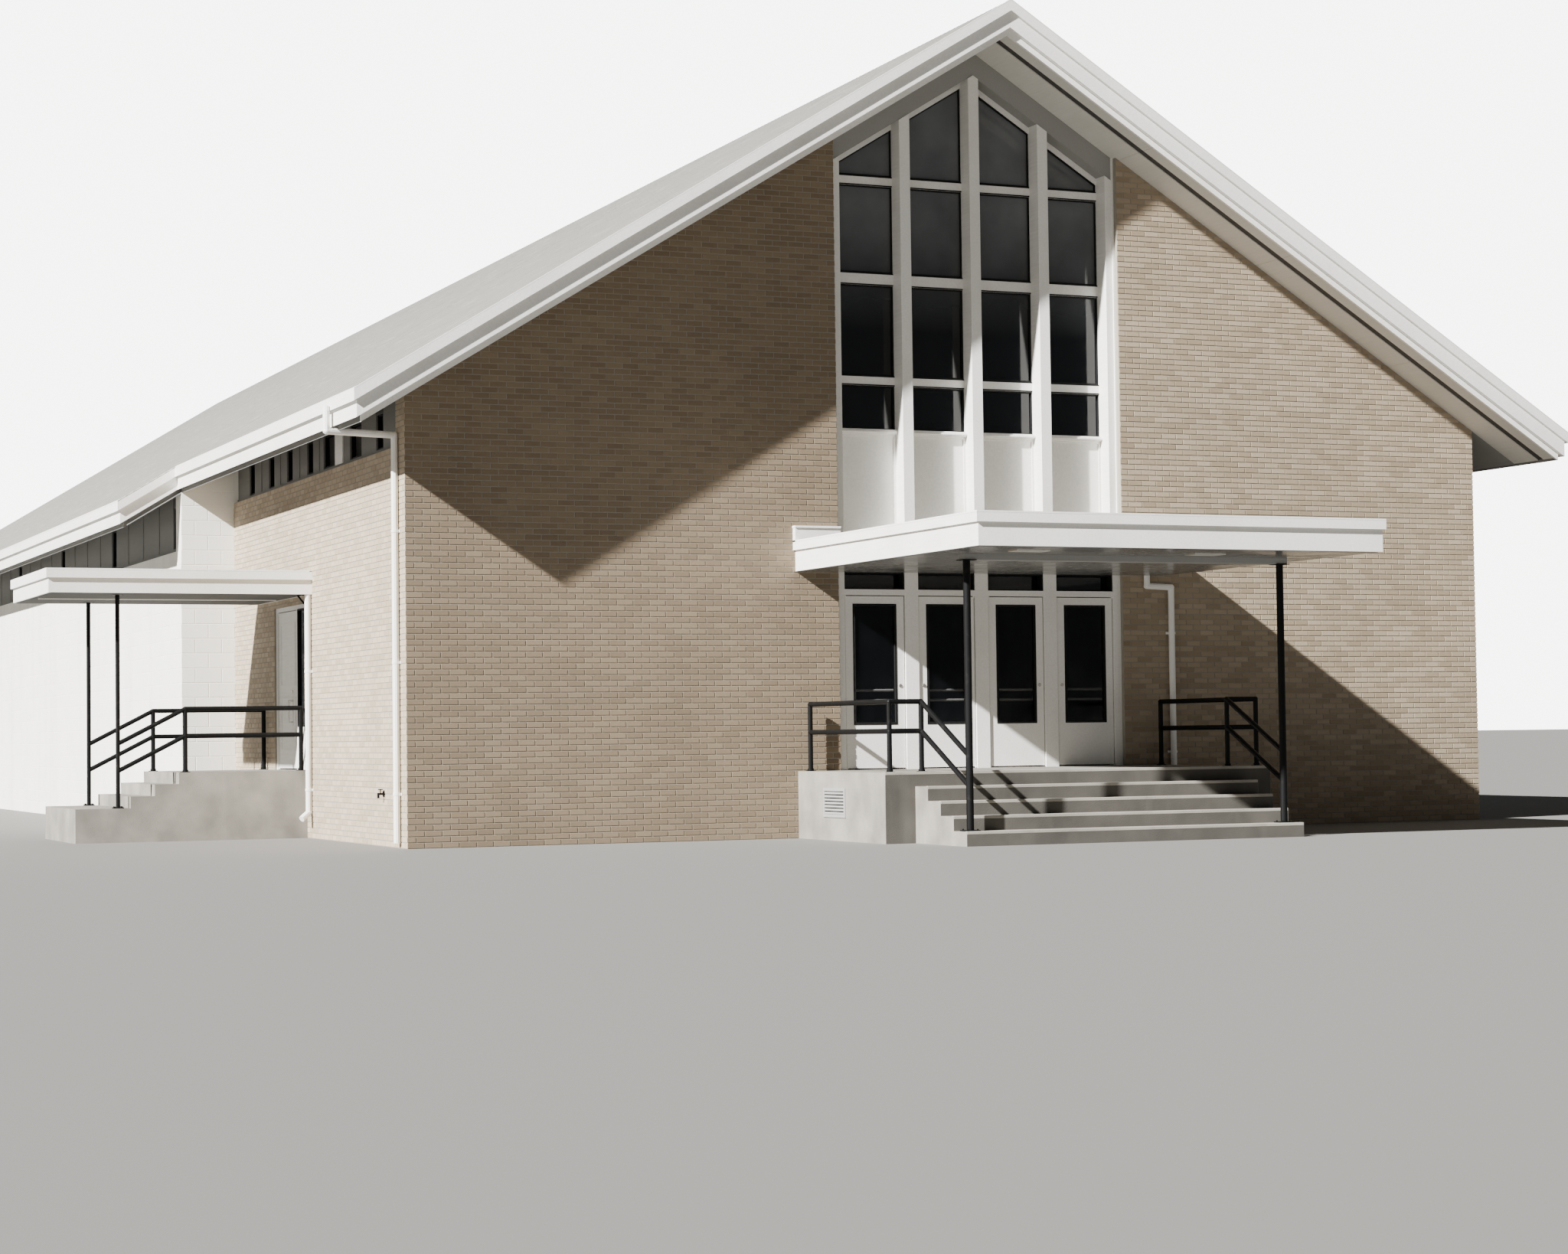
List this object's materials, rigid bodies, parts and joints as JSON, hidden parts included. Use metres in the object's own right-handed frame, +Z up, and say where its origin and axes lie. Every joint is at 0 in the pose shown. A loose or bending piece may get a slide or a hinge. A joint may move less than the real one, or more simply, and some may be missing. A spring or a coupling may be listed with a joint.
{
  "type": "modern brick church building, half-size scale model (1:2)",
  "caption": "Long brick church with a steep gabled roof, a tall glazed bay over a flat entrance canopy, and a side porch with steps. Hollow inside, with swinging doors.",
  "frame": {"origin": "on the ground, under the middle of the bounding box of the whole building with its porches", "axes": "+X to the right along the front, +Y from the front to the rear along the ridge, +Z up"},
  "size_m": [9.828, 24.13, 5.0549],
  "materials": {
    "face_brick": "buff fired face brick in running bond",
    "painted_masonry": "concrete block painted a light cream",
    "white_paint": "white oil paint on boards",
    "panel_paint": "grey-green paint on flat panels and battens",
    "roof_shingles": "light grey mineral shingles over a boarded deck",
    "concrete": "cast concrete with a floated top",
    "window_glass": "clear sheet glass, dark from outside",
    "iron_paint": "black enamel on steel pipe",
    "pipe_paint": "white paint on folded sheet"
  },
  "bodies": {
    "building": {"floor": "concrete", "front_wall_left": "face_brick", "front_wall_right": "face_brick", "entrance_sill": "concrete", "gable_infill": "panel_paint", "left_wall_near_door": "face_brick", "left_wall_beyond_door": "face_brick", "left_wall_over_door": "face_brick", "side_door_sill": "concrete", "left_nave_wall": "painted_masonry", "right_wall": "face_brick", "right_nave_wall": "painted_masonry", "rear_wall": "painted_masonry", "clerestory_left_front": "panel_paint", "clerestory_left_nave": "panel_paint", "clerestory_right_front": "panel_paint", "clerestory_right_nave": "panel_paint", "clerestory_glass_left_front": "window_glass", "clerestory_glass_left_nave": "window_glass", "clerestory_glass_right_front": "window_glass", "clerestory_glass_right_nave": "window_glass", "window_frame": "white_paint", "window_glass": "window_glass", "door_frame": "white_paint", "transom_glass": "window_glass", "side_door_frame": "white_paint", "sidelight_glass": "window_glass", "roof_left": "roof_shingles", "roof_right": "roof_shingles", "fascia_left": "white_paint", "fascia_right": "white_paint", "front_canopy": "white_paint", "canopy_post_left": "iron_paint", "canopy_post_right": "iron_paint", "front_landing": "concrete", "front_steps": "concrete", "front_rail_left": "iron_paint", "front_rail_right": "iron_paint", "side_landing": "concrete", "side_steps": "concrete", "side_canopy": "white_paint", "side_post_near": "iron_paint", "side_post_far": "iron_paint", "side_rail_near": "iron_paint", "side_rail_far": "iron_paint", "roof_downspout": "pipe_paint", "canopy_downspout": "pipe_paint", "side_downspout": "pipe_paint"},
    "front_leaf_1": {"front_door_1": "white_paint", "front_door_1_glass": "window_glass"},
    "front_leaf_2": {"front_door_2": "white_paint", "front_door_2_glass": "window_glass"},
    "front_leaf_3": {"front_door_3": "white_paint", "front_door_3_glass": "window_glass"},
    "front_leaf_4": {"front_door_4": "white_paint", "front_door_4_glass": "window_glass"},
    "side_leaf": {"side_door": "white_paint"}
  },
  "joints": [
    {"name": "front_door_1_hinge", "type": "hinge", "parent": "building", "child": "front_leaf_1", "pos_m": [-0.505, -9.61, 0.93], "axis": [0, 0, -1], "range_deg": [0, 90]},
    {"name": "front_door_2_hinge", "type": "hinge", "parent": "building", "child": "front_leaf_2", "pos_m": [0.368, -9.61, 0.93], "axis": [0, 0, 1], "range_deg": [0, 90]},
    {"name": "front_door_3_hinge", "type": "hinge", "parent": "building", "child": "front_leaf_3", "pos_m": [0.47, -9.61, 0.93], "axis": [0, 0, -1], "range_deg": [0, 90]},
    {"name": "front_door_4_hinge", "type": "hinge", "parent": "building", "child": "front_leaf_4", "pos_m": [1.343, -9.61, 0.93], "axis": [0, 0, 1], "range_deg": [0, 90]},
    {"name": "side_door_hinge", "type": "hinge", "parent": "building", "child": "side_leaf", "pos_m": [-3.236, -6.5141, 0.95], "axis": [0, 0, -1], "range_deg": [0, 90]}
  ]
}
